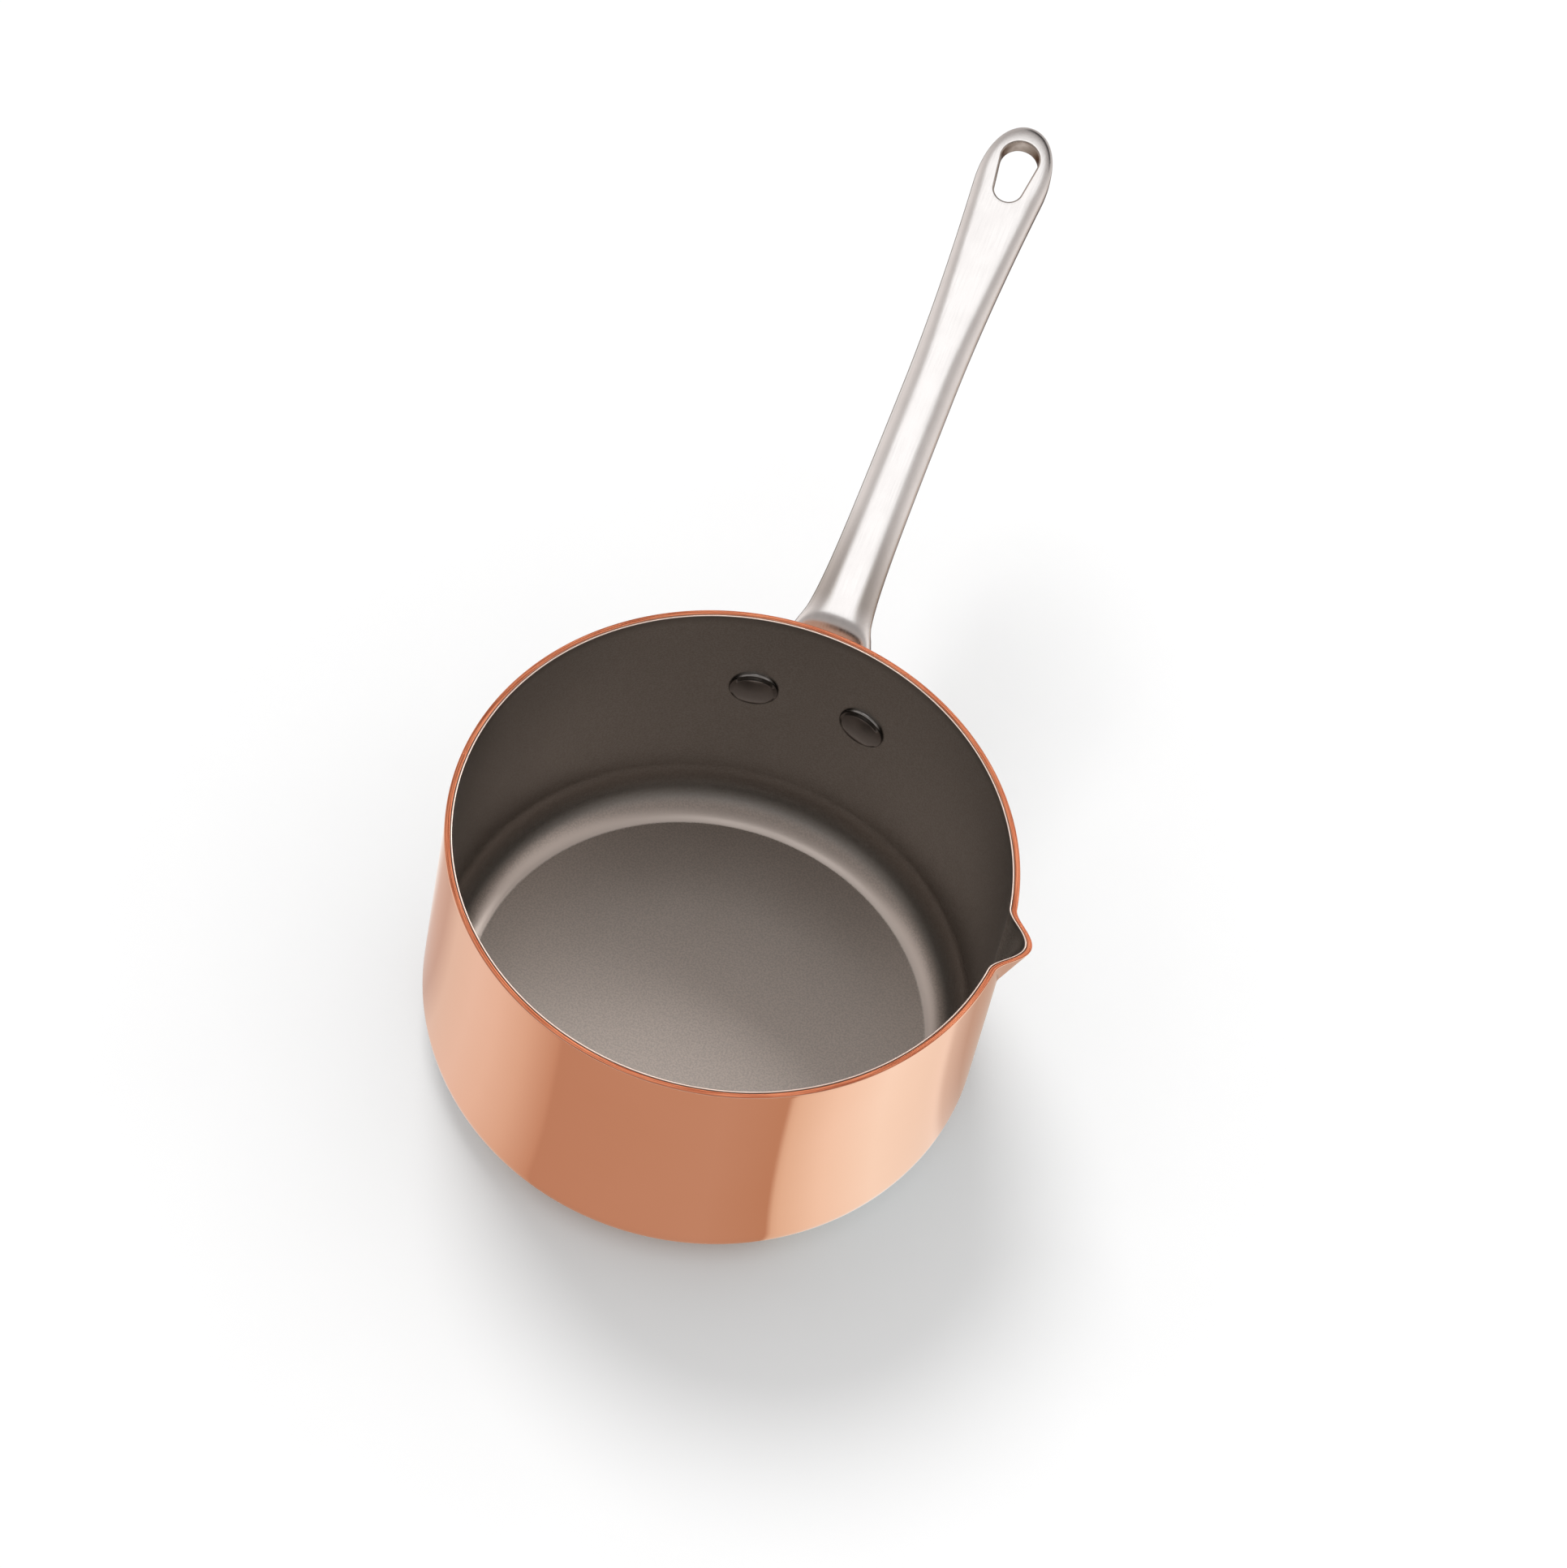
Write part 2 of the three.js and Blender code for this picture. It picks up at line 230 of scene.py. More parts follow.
def inside_corner():
    """The lining's corner inside the bowl, which meets the flat floor at a slight angle."""
    rise = INSIDE_CORNER_RADIUS * cos(radians(FLOOR_KINK))
    centre = (INNER_RADIUS - INSIDE_CORNER_RADIUS, WALL + rise)
    start = FLOOR_KINK - 90
    edge = arc(centre, INSIDE_CORNER_RADIUS, start, start + KINK_EDGE, 1)
    return edge + arc(centre, INSIDE_CORNER_RADIUS, start + KINK_EDGE, 0, CORNER_STEPS)[1:]


def skin(bend, top):
    """A face's section: flat from the axis, round its corner and up the wall to a height."""
    flat = [(bend[0][0] * share, bend[0][1]) for share in FLAT_SHARES]
    wall, start = bend[-1]
    spout_start = HEIGHT - SPOUT_DEPTH
    low = [(wall, z) for z in spaced(start, spout_start, WALL_STEPS)]
    high = [(wall, z) for z in spaced(spout_start, top, SPOUT_STEPS)]
    return flat + bend + low + high


def layer_profile(outside, inside, rounding, inner_corner):
    """One layer's section as a closed run: up its outer face, over the rim and down inside."""
    top = HEIGHT - rounding
    outer_centre = OUTER_RADIUS - outside - rounding
    inner_centre = OUTER_RADIUS - inside + rounding
    over = arc((outer_centre, top), rounding, 0, 90, RIM_STEPS)[1:]
    across = [(x, HEIGHT) for x in spaced(outer_centre, inner_centre, RIM_STEPS)]
    down = arc((inner_centre, top), rounding, 90, 180, RIM_STEPS)[1:-1]
    return skin(corner(outside), top) + over + across + down + skin(inner_corner, top)[::-1]


def bowl_layer(name, outside, inside, rounding, inner_corner):
    """A layer between two depths. Its uv gives metres round the bowl and metres along its section."""
    profile = layer_profile(outside, inside, rounding, inner_corner)
    angles = []
    for i in range(BOWL_SEGMENTS):
        even = 2 * pi * i / BOWL_SEGMENTS - pi
        angles.append(even - SPOUT_CROWDING * sin(even))
    steps = [hypot(b[0] - a[0], b[1] - a[1]) for a, b in zip(profile, profile[1:])]
    along = np.concatenate([[0], np.cumsum(steps)])
    vertices, uvs = [], []
    for (radius, z), travelled in zip(profile, along):
        for angle in angles:
            pushed = radius + spout_push(angle, z)
            turned = angle + SPOUT_ANGLE
            vertices.append((pushed * cos(turned), pushed * sin(turned), z))
            uvs.append((turned * OUTER_RADIUS * MM, travelled * MM))
    faces = []
    for row in range(len(profile) - 1):
        for i in range(BOWL_SEGMENTS):
            j = (i + 1) % BOWL_SEGMENTS
            a, b = row * BOWL_SEGMENTS, (row + 1) * BOWL_SEGMENTS
            faces.append((a + i, a + j, b + j, b + i))
    for row, first, second in ((0, 1, 0), (len(profile) - 1, 0, 1)):
        centre = len(vertices)
        vertices.append((0, 0, profile[row][1]))
        uvs.append((0, along[row] * MM))
        for i in range(BOWL_SEGMENTS):
            pair = (row * BOWL_SEGMENTS + i, row * BOWL_SEGMENTS + (i + 1) % BOWL_SEGMENTS)
            faces.append((centre, pair[first], pair[second]))
    return mesh_object(name, vertices, faces, uvs)


# ---- Rivets ----

RIVET_SEGMENTS = 96
RIVET_HOLE_ENDS = (40.0, 52.0)  # from the bowl's axis
HAIR_GAP = 0.01  # between a rivet's heads and what they bear on
INNER_SEAT = INNER_RADIUS - HAIR_GAP
OUTER_SEAT = FLANGE_RADIUS + FLANGE_THICKNESS + HAIR_GAP
ROLL_END = 80  # degrees round a head's rolled edge, where its dome takes over
ROLL_STEPS = 6
DOME_STEPS = 16
ROLL_FOLLOWS = 0.8  # how far the rolled edge follows the wall's curve
DOME_FOLLOWS = 0.6  # and the dome's edge


def rivet_point(side, axis, across, up):
    """A point near a rivet: its distance from the bowl's axis along the rivet, and its offsets."""
    azimuth = pi / 2 - side * RIVET_ANGLE
    return (axis * cos(azimuth) - across * sin(azimuth),
            axis * sin(azimuth) + across * cos(azimuth), HEIGHT - RIVET_DROP + up)


def turned_piece(name, side, profile):
    """A closed solid of revolution on a rivet's line. Each profile point is its radius, its distance
    from the bowl's axis, and how far it follows the wall's curve, from 0 to 1."""
    vertices, faces = [], []
    for radius, axis, follows in profile:
        for i in range(RIVET_SEGMENTS):
            turn = 2 * pi * i / RIVET_SEGMENTS
            across, up = radius * cos(turn), radius * sin(turn)
            sag = axis - sqrt(axis ** 2 - across ** 2)
            vertices.append(rivet_point(side, axis - follows * sag, across, up))
    for row in range(len(profile) - 1):
        for i in range(RIVET_SEGMENTS):
            j = (i + 1) % RIVET_SEGMENTS
            a, b = row * RIVET_SEGMENTS, (row + 1) * RIVET_SEGMENTS
            faces.append((a + i, a + j, b + j, b + i))
    last = (len(profile) - 1) * RIVET_SEGMENTS
    faces.append(tuple(reversed(range(RIVET_SEGMENTS))))
    faces.append(tuple(range(last, last + RIVET_SEGMENTS)))
    return mesh_object(name, vertices, faces)


def head_profile(head, seat, towards):
    """A low dome with a rolled edge, from its seat to its top."""
    radius, edge, dome = head
    dome_radius = (radius ** 2 + dome ** 2) / (2 * dome)
    reach = asin((radius - HEAD_ROLL) / dome_radius)
    points = [(radius, seat, 1.0), (radius, seat + towards * (edge - HEAD_ROLL), 1.0)]
    roll_centre = (radius - HEAD_ROLL, edge - HEAD_ROLL)
    for across, out in arc(roll_centre, HEAD_ROLL, 0, ROLL_END, ROLL_STEPS)[1:]:
        points.append((across, seat + towards * out, ROLL_FOLLOWS))
    for i in range(1, DOME_STEPS + 1):
        turn = reach * (1 - i / (DOME_STEPS + 0.5))
        out = edge + dome - dome_radius * (1 - cos(turn))
        follows = DOME_FOLLOWS * (1 - i / DOME_STEPS)
        points.append((dome_radius * sin(turn), seat + towards * out, follows))
    return points


def rivet(name, side):
    """A rivet in one solid: its inner head, its shank and its outer head."""
    inner = head_profile(INNER_HEAD, INNER_SEAT, -1)[::-1]
    outer = head_profile(OUTER_HEAD, OUTER_SEAT, 1)
    shank = [(SHANK_RADIUS, INNER_SEAT, 1.0), (SHANK_RADIUS, OUTER_SEAT, 1.0)]
    return turned_piece(name, side, inner + shank + outer)


def rivet_hole(side):
    """The cutter for a rivet's hole, through the wall and the flange."""
    radius = SHANK_RADIUS + FIT
    return turned_piece("rivet_hole", side, [(radius, end, 0.0) for end in RIVET_HOLE_ENDS])


# ---- Handle ----

LOWER_TURN = radians(LOWER_BEND[1])
UPPER_TURN = radians(UPPER_BEND[1])
# The face's runs, from the flange's lower edge to the tip: each has its length and how far it turns.
RUNS = [
    (FLANGE_LENGTH, 0.0),
    (LOWER_BEND[0] * LOWER_TURN, LOWER_TURN),
    (NECK_LENGTH, 0.0),
    (UPPER_BEND[0] * UPPER_TURN, UPPER_TURN),
    (GRIP_LENGTH, radians(GRIP_TURN)),
]
HANDLE_LENGTH = sum(length for length, _ in RUNS)
GRIP_START = HANDLE_LENGTH - GRIP_LENGTH
TIP_START = HANDLE_LENGTH - TIP_LENGTH
HEM = 0.3  # the flange's thickness at its lower edge, as a share of the rest
HEM_LENGTH = 1.0


def face_at(length):
    """Place and heading of the handle's face at a length along it."""
    y, z, heading, left = FLANGE_RADIUS, HEIGHT - FLANGE_DROP, pi / 2, length
    for run, turn in RUNS:
        gone = min(left, run)
        turned = turn * gone / run
        if turned == 0:
            y, z = y + gone * cos(heading), z + gone * sin(heading)
        else:
            radius, end = gone / turned, heading - turned
            y += radius * (sin(heading) - sin(end))
            z += radius * (cos(end) - cos(heading))
            heading = end
        left -= gone
    return y, z, heading


def tip_share(length):
    """How far along the rounded tip, from 0 at its start to 1 at the end."""
    return max(0, length - TIP_START) / TIP_LENGTH


def full_width(length):
    """Half the handle's width, before its tip is rounded."""
    flare = 1 / (1 + (max(0, length - FLANGE_CORNER) / FLARE_LENGTH) ** FLARE_POWER)
    swell = max(0, (length - SWELL_START) / (TIP_START - SWELL_START)) ** SWELL_POWER
    rounded = FLANGE_CORNER * (1 - quarter_round(min(1, length / FLANGE_CORNER)))
    return lerp(WAIST_HALF_WIDTH, FLANGE_HALF_WIDTH, flare) + SWELL * swell - rounded


def half_width(length):
    """Half the handle's width."""
    return full_width(length) * sqrt(max(0, 1 - tip_share(length) ** 2))


def height_at(x, length, top):
    """Height of the handle's top or underside above its edges."""
    on_grip = smoothstep(length, FLANGE_LENGTH, GRIP_START)
    hem = lerp(HEM, 1, quarter_round(min(1, length / HEM_LENGTH)))
    squareness = lerp(FLANGE_SQUARENESS, GRIP_SQUARENESS, on_grip)
    squareness += (TIP_SQUARENESS - GRIP_SQUARENESS) * smoothstep(length, SWELL_START, TIP_START)
    squareness += (END_SQUARENESS - TIP_SQUARENESS) * tip_share(length)
    share = min(1, hypot(x / full_width(length), tip_share(length)))
    full = (1 - share ** squareness) ** (1 / squareness)
    end = GRIP_CROWN if top else -GRIP_BELLY
    start = FLANGE_THICKNESS / 2 if top else -FLANGE_THICKNESS / 2
    return lerp(start, end, on_grip) * hem * full


def handle_point(x, length, height):
    """A point of the handle, from its place across, along and above the section's edges."""
    on_grip = smoothstep(length, FLANGE_LENGTH, GRIP_START)
    middle = lerp(FLANGE_THICKNESS / 2, GRIP_CROWN, on_grip)
    wrapped = (1 - on_grip) * (FLANGE_RADIUS - sqrt(FLANGE_RADIUS ** 2 - x ** 2))
    up = height - middle + wrapped
    y, z, heading = face_at(length)
    return (x, y - up * sin(heading), z + up * cos(heading))


def nearest_on_hole(x, length):
    """The hole's nearest edge point to a point outside it, and the direction out of the hole there."""
    narrow, wide = HOLE_RADII
    lean = asin((wide - narrow) / HOLE_SPAN)
    side = 1 if x >= 0 else -1
    across, along = abs(x), length - HOLE_START
    travelled = across * sin(lean) + along * cos(lean)
    if travelled < 0 or travelled > HOLE_SPAN * cos(lean):
        centre, radius = (0, narrow) if travelled < 0 else (HOLE_SPAN, wide)
        reach = hypot(across, along - centre)
        out = (across / reach, (along - centre) / reach)
        edge = (radius * out[0], centre + radius * out[1])
    else:
        out = (cos(lean), -sin(lean))
        edge = (narrow * out[0] + travelled * sin(lean), narrow * out[1] + travelled * cos(lean))
    return (side * edge[0], HOLE_START + edge[1]), (side * out[0], out[1])


SECTION_STEPS = 48  # over the top from edge to edge, and as many underneath
HOLE_REGION = 96.0  # from here the mesh runs round the hang hole
ROUND_STEPS = 6  # over each of the hole's rounded edges
HOLE_RINGS = 22
TIP_STATIONS = 56
HEM_STATIONS = 8
CORNER_STATIONS = 10
ROOT_STATIONS = 60
ROOT_END = GRIP_START + 10
GRIP_STATIONS = 70


def stations():
    """Lengths of the handle's sections, from the flange's lower edge to the hole's region."""
    hem = [HEM_LENGTH * (1 - cos(pi / 2 * i / HEM_STATIONS)) for i in range(HEM_STATIONS + 1)]
    flange = spaced(HEM_LENGTH, FLANGE_CORNER, CORNER_STATIONS)
    root = spaced(FLANGE_CORNER, ROOT_END, ROOT_STATIONS)
    return hem + flange + root + spaced(ROOT_END, HOLE_REGION, GRIP_STATIONS)


def handle_mesh():
    """The handle: sections up to the hole's region, then rings round the hole out to the tip."""
    vertices, uvs, faces, index = [], [], [], {}

    def put(key, x, length, height):
        """The vertex of that key, made once."""
        if key not in index:
            index[key] = len(vertices)
            vertices.append(handle_point(x, length, height))
            uvs.append((x * MM, length * MM))
        return index[key]

    def edge_or_face(row, i, top, x, length, height):
        """A section's vertex: the top and the underside share those on its two edges."""
        on_edge = i in (0, SECTION_STEPS)
        return put(("section", row, i, top or on_edge), x, length, height)

    lengths = stations()
    loops = []
    for row, length in enumerate(lengths):
        width = half_width(length)
        xs = [-width * cos(pi * i / SECTION_STEPS) for i in range(SECTION_STEPS + 1)]
        sides = {}
        for top in (True, False):
            sides[top] = [edge_or_face(row, i, top, x, length, height_at(x, length, top))
                          for i, x in enumerate(xs)]
        loops.append(sides)
    for low, high in zip(loops, loops[1:]):
        for i in range(SECTION_STEPS):
            faces.append((low[True][i], low[True][i + 1], high[True][i + 1], high[True][i]))
            faces.append((low[False][i + 1], low[False][i], high[False][i], high[False][i + 1]))
    first = loops[0]
    for i in range(SECTION_STEPS):
        ring = (first[True][i + 1], first[True][i], first[False][i], first[False][i + 1])
        faces.append(tuple(dict.fromkeys(ring)))

    # Round the hole: rings from its edge out to the last section and to the handle's outline.
    last = len(lengths) - 1
    width = half_width(HOLE_REGION)
    boundary = [(-width * cos(pi * i / SECTION_STEPS), HOLE_REGION) for i in range(SECTION_STEPS + 1)]
    tip = []
    for i in range(1, TIP_STATIONS + 1):
        length = HOLE_REGION + (HANDLE_LENGTH - HOLE_REGION) * sin(pi / 2 * i / TIP_STATIONS)
        tip.append((half_width(length), length))
    boundary += tip + [(-x, length) for x, length in tip[-2::-1]]
    rings = {True: [], False: []}
    for k, (x, length) in enumerate(boundary):
        edge, out = nearest_on_hole(x, length)
        start = (edge[0] + HOLE_ROUND * out[0], edge[1] + HOLE_ROUND * out[1])
        for top in (True, False):
            sign = -1 if top else 1
            spoke = []
            for j in range(ROUND_STEPS):
                turn = pi / 2 * j / ROUND_STEPS
                gone = HOLE_ROUND * (1 - cos(turn))
                drop = HOLE_ROUND * (1 - sin(turn))
                px, pl = edge[0] + gone * out[0], edge[1] + gone * out[1]
                spoke.append(put(("round", k, j, top), px, pl, height_at(px, pl, top) + sign * drop))
            for j in range(HOLE_RINGS):
                share = sin(pi / 2 * j / HOLE_RINGS)
                px, pl = lerp(start[0], x, share), lerp(start[1], length, share)
                spoke.append(put(("ring", k, j, top), px, pl, height_at(px, pl, top)))
            if k <= SECTION_STEPS:
                spoke.append(loops[last][top][k])
            else:
                spoke.append(put(("outline", k), x, length, 0))
            rings[top].append(spoke)
    count = len(boundary)
    for k in range(count):
        n = (k + 1) % count
        for a, b in zip(range(ROUND_STEPS + HOLE_RINGS), range(1, ROUND_STEPS + HOLE_RINGS + 1)):
            upper, lower = rings[True], rings[False]
            faces.append((upper[k][b], upper[n][b], upper[n][a], upper[k][a]))
            faces.append((lower[k][a], lower[n][a], lower[n][b], lower[k][b]))
        faces.append((rings[True][k][0], rings[True][n][0], rings[False][n][0], rings[False][k][0]))
    made = mesh_object("cast_handle", vertices, faces, uvs)
    bore = made.data.attributes.new("bore", "FLOAT", "POINT")
    bore.data.foreach_set("value", [float(key[0] == "round") for key in index])
    return made


# ---- Materials ----

# Depths below the rim's top, in millimetres.
COPPER_EDGE = (0.10, 0.02)
LINING_EDGE = (0.07, 0.01)
# painted shade on the lining just under the rim's top
PAINTED_RIM_SHADE = (2.5, 0.2)

# Heights above the pan's floor. Those with four marks rise between two and fall between two.
LINING_WALL = (3.0, 8.0)
# painted shade in the lining's inside corner, low on the wall
PAINTED_CORNER_SHADE = (1.2, 2.6, 3.5, 9.0)
# painted highlight where the lining's floor meets its corner
FLOOR_LINE_HIGHLIGHT = (0.01, 0.08, 0.4, 1.4)
CORNER_POLISH = (0.02, 0.4)

# Painted shade on the grip's sides near its root: the band's marks from the grip's start, and distances
# from the grip's middle.
ROOT_SIDE_SHADE = (-2.0, 3.0, 3.0, 24.0)
GRIP_SIDE = (1.7, 2.9)

COPPER_TONES = ((0.955, 0.60, 0.45), (0.94, 0.585, 0.43))
# the rim's cut edge: its own lined copper, darkened and reddened by painted shade
CUT_EDGE_AND_SHADE_TONES = ((0.41, 0.105, 0.05), (0.78, 0.28, 0.145))
TONE_SEEN_BY_FLOOR = (0.6, 0.6, 0.6)
COPPER_TINT = (0.92, 0.82, 0.76)  # of its reflections at a glancing angle, as is HANDLE_TINT
LINING_FLOOR_TONES = ((0.52, 0.445, 0.397), (0.54, 0.464, 0.416))
LINING_WALL_TONE = (0.475, 0.46, 0.437)
PAINTED_CORNER_SHADE_TONE = (0.38, 0.36, 0.34)
PAINTED_RIM_SHADE_TONE = (0.20, 0.18, 0.165)
GRAIN_TONE = (0.34, 0.30, 0.275)
FLOOR_LINE_HIGHLIGHT_TONE = (0.66, 0.57, 0.515)
# the lining's cut edge, brightened past its own steel by a painted highlight
LINING_EDGE_HIGHLIGHT_TONE = (1.0, 0.80, 0.70)
HANDLE_TONES = ((0.82, 0.775, 0.755), (0.85, 0.805, 0.785))
ROOT_SIDE_SHADE_TONE = (0.54, 0.49, 0.455)
BORE_TONES = ((0.42, 0.36, 0.32), (0.70, 0.63, 0.58))
HANDLE_TINT = (0.10, 0.07, 0.06)
INNER_RIVET_SHADE_TONES = ((0.30, 0.285, 0.275), (0.35, 0.335, 0.325))
OUTER_RIVET_TONE = (0.62, 0.59, 0.57)


class Nodes:
    """Adds nodes to a node tree."""

    def __init__(self, tree):
        self.tree = tree

    def add(self, kind, settings=None, **inputs):
        """A node of a kind, with its settings and with its inputs set or linked."""
        node = self.tree.nodes.new("ShaderNode" + kind)
        for key, value in (settings or {}).items():
            setattr(node, key, value)
        self.feed(node, **inputs)
        return node

    def feed(self, node, **inputs):
        """Sets or links a node's inputs, by their names."""
        for key, value in inputs.items():
            self.set(node.inputs[key.replace("_", " ")], value)

    def set(self, socket, value):
        """Links a socket to another, or gives it a value."""
        if isinstance(value, bpy.types.NodeSocket):
            self.tree.links.new(value, socket)
        else:
            socket.default_value = value

    def math(self, operation, *values):
        node = self.add("Math", {"operation": operation})
        for socket, value in zip(node.inputs, values):
            self.set(socket, value)
        return node.outputs[0]

    def scaled(self, vector, scale):
        """A vector with each part multiplied."""
        node = self.add("VectorMath", {"operation": "MULTIPLY"})
        self.set(node.inputs[0], vector)
        node.inputs[1].default_value = scale
        return node.outputs[0]

    def noise(self, vector, scale, detail=2.0, roughness=0.5):
        inputs = {"Vector": vector, "Scale": scale, "Detail": detail, "Roughness": roughness}
        return self.add("TexNoise", None, **inputs).outputs["Fac"]

    def spread(self, value, low, high, out_low, out_high):
        """Maps a range onto another, smoothly and without going past it."""
        node = self.add("MapRange", {"interpolation_type": "SMOOTHSTEP"})
        for socket, number in zip(node.inputs, (value, low, high, out_low, out_high)):
            self.set(socket, number)
        return node.outputs[0]

    def band(self, value, start, full, fading, end):
        """Rises from 0 to 1 between two values, and falls back to 0 between two more."""
        risen = self.spread(value, start, full, 0.0, 1.0)
        return self.math("SUBTRACT", risen, self.spread(value, fading, end, 0.0, 1.0))

    def mix(self, share, first, second):
        """Mixes two colours."""
        node = self.add("Mix", {"data_type": "RGBA"})
        for place, value in zip((0, 6, 7), (share, first, second)):
            self.set(node.inputs[place], value)
        return node.outputs[2]

    def blend(self, value, low, high, tones):
        """Goes from one tone to the other as a value goes from low to high."""
        return self.mix(self.spread(value, low, high, 0.0, 1.0), *[colour(*tone) for tone in tones])

    def times(self, vector, factor):
        """A colour made brighter or darker."""
        node = self.add("VectorMath", {"operation": "SCALE"}, Scale=factor)
        self.set(node.inputs[0], vector)
        return node.outputs[0]

    def ramp(self, value, stops):
        """Maps a value through stops, each a place from 0 to 1 and a colour."""
        node = self.add("ValToRGB", None, Fac=value)
        elements = node.color_ramp.elements
        while len(elements) < len(stops):
            elements.new(0.5)
        for element, (place, tone) in zip(elements, stops):
            element.position = place
            element.color = colour(*tone)
        return node.outputs["Color"]

    def bump(self, height, distance, strength=1.0, normal=None):
        node = self.add("Bump", None, Height=height, Distance=distance, Strength=strength)
        if normal is not None:
            self.set(node.inputs["Normal"], normal)
        return node.outputs[0]


class Surface(Nodes):
    """A material and its nodes."""

    def __init__(self, name):
        self.material = bpy.data.materials.new(name)
        self.material.use_nodes = True
        super().__init__(self.material.node_tree)
        self.shader = self.tree.nodes["Principled BSDF"]


def colour(*rgb):
    return (*rgb, 1.0)


def below_top(marks):
    """Depths below the rim's top in millimetres, as heights in metres."""
    return [(HEIGHT - mark) * MM for mark in marks]


def above_floor(marks):
    """Heights above the pan's floor in millimetres, as heights in metres."""
    return [(WALL + mark) * MM for mark in marks]


def copper_material():
    """A clear polish on the wall, and a finely lined cut edge on the rim, made darker and redder by
    painted shade.
    """
    n = Surface("polished_copper")
    place = n.add("NewGeometry").outputs["Position"]
    surface = n.add("UVMap").outputs["UV"]
    height = n.add("SeparateXYZ", None, Vector=place).outputs["Z"]
    rim = n.spread(height, *below_top(COPPER_EDGE), 0.0, 1.0)
    polish_lines = n.noise(n.scaled(surface, (60, 9000, 1)), 1.0, 3.0)
    rim_lines = n.noise(n.scaled(surface, (90, 6000, 1)), 1.0, 3.0, 0.6)
    cloud = n.noise(place, 22.0, 4.0, 0.6)
    polished = n.blend(cloud, 0.35, 0.7, COPPER_TONES)
    # The rim's fine lines are its own; its darker, redder tone is partly painted shade.
    lined_and_shaded = n.blend(rim_lines, 0.35, 0.65, CUT_EDGE_AND_SHADE_TONES)
    copper = n.mix(rim, polished, lined_and_shaded)
    # The floor sees the copper as grey, so that the shadow stays neutral.
    from_floor = n.add("LightPath").outputs["Is Diffuse Ray"]
    seen = n.mix(from_floor, copper, colour(*TONE_SEEN_BY_FLOOR))
    smear = n.spread(n.noise(place, 60.0, 5.0, 0.65), 0.45, 0.75, 0.0, 0.045)
    fine = n.spread(polish_lines, 0.3, 0.7, 0.045, 0.075)
    wall_roughness = n.math("ADD", smear, fine)
    rim_roughness = n.spread(rim_lines, 0.3, 0.7, 0.26, 0.4)
    roughness = n.add("Mix")
    for socket, value in zip((0, 2, 3), (rim, wall_roughness, rim_roughness)):
        n.set(roughness.inputs[socket], value)
    fine_bump = n.bump(polish_lines, 0.000002, 0.12)
    bump = n.bump(rim_lines, 0.00003, n.math("MULTIPLY", rim, 0.6), fine_bump)
    n.feed(n.shader, Base_Color=seen, Metallic=1.0, Specular_Tint=colour(*COPPER_TINT),
           Roughness=roughness.outputs[0], Normal=bump)
    return n.material


def lining_material():
    """Satin steel, warmer on the floor: painted shade low on the wall and under the rim, and painted
    highlights on its edge and floor line.
    """
    n = Surface("satin_lining")
    place = n.add("NewGeometry").outputs["Position"]
    height = n.add("SeparateXYZ", None, Vector=place).outputs["Z"]
    edge = n.spread(height, *below_top(LINING_EDGE), 0.0, 1.0)
    rim_shade = n.spread(height, *below_top(PAINTED_RIM_SHADE), 0.0, 0.5)
    on_wall = n.spread(height, *above_floor(LINING_WALL), 0.0, 1.0)
    corner_shade = n.band(height, *above_floor(PAINTED_CORNER_SHADE))
    grain = n.noise(place, 3200.0, 2.0, 0.5)
    mottle = n.noise(place, 60.0, 3.0, 0.5)
    steel = n.blend(mottle, 0.3, 0.7, LINING_FLOOR_TONES)
    steel = n.mix(on_wall, steel, colour(*LINING_WALL_TONE))
    # Painted shade in the inside corner, low on the wall.
    steel = n.mix(corner_shade, steel, colour(*PAINTED_CORNER_SHADE_TONE))
    # Painted shade just under the rim.
    steel = n.mix(rim_shade, steel, colour(*PAINTED_RIM_SHADE_TONE))
    steel = n.mix(n.spread(grain, 0.35, 0.65, 0.0, 0.5), steel, colour(*GRAIN_TONE))
    # Painted highlight along the floor's edge.
    steel = n.mix(n.band(height, *above_floor(FLOOR_LINE_HIGHLIGHT)), steel, colour(*FLOOR_LINE_HIGHLIGHT_TONE))
    # The lining's cut edge: partly its own pale steel, partly a painted highlight.
    steel = n.mix(edge, steel, colour(*LINING_EDGE_HIGHLIGHT_TONE))
    polish = n.spread(height, *above_floor(CORNER_POLISH), 0.0, 0.13)
    roughness = n.math("SUBTRACT", n.spread(mottle, 0.3, 0.7, 0.41, 0.44), polish)
    bump = n.bump(grain, 0.000008, 0.5)
    n.feed(n.shader, Base_Color=steel, Metallic=1.0, Roughness=roughness, Normal=bump)
    return n.material


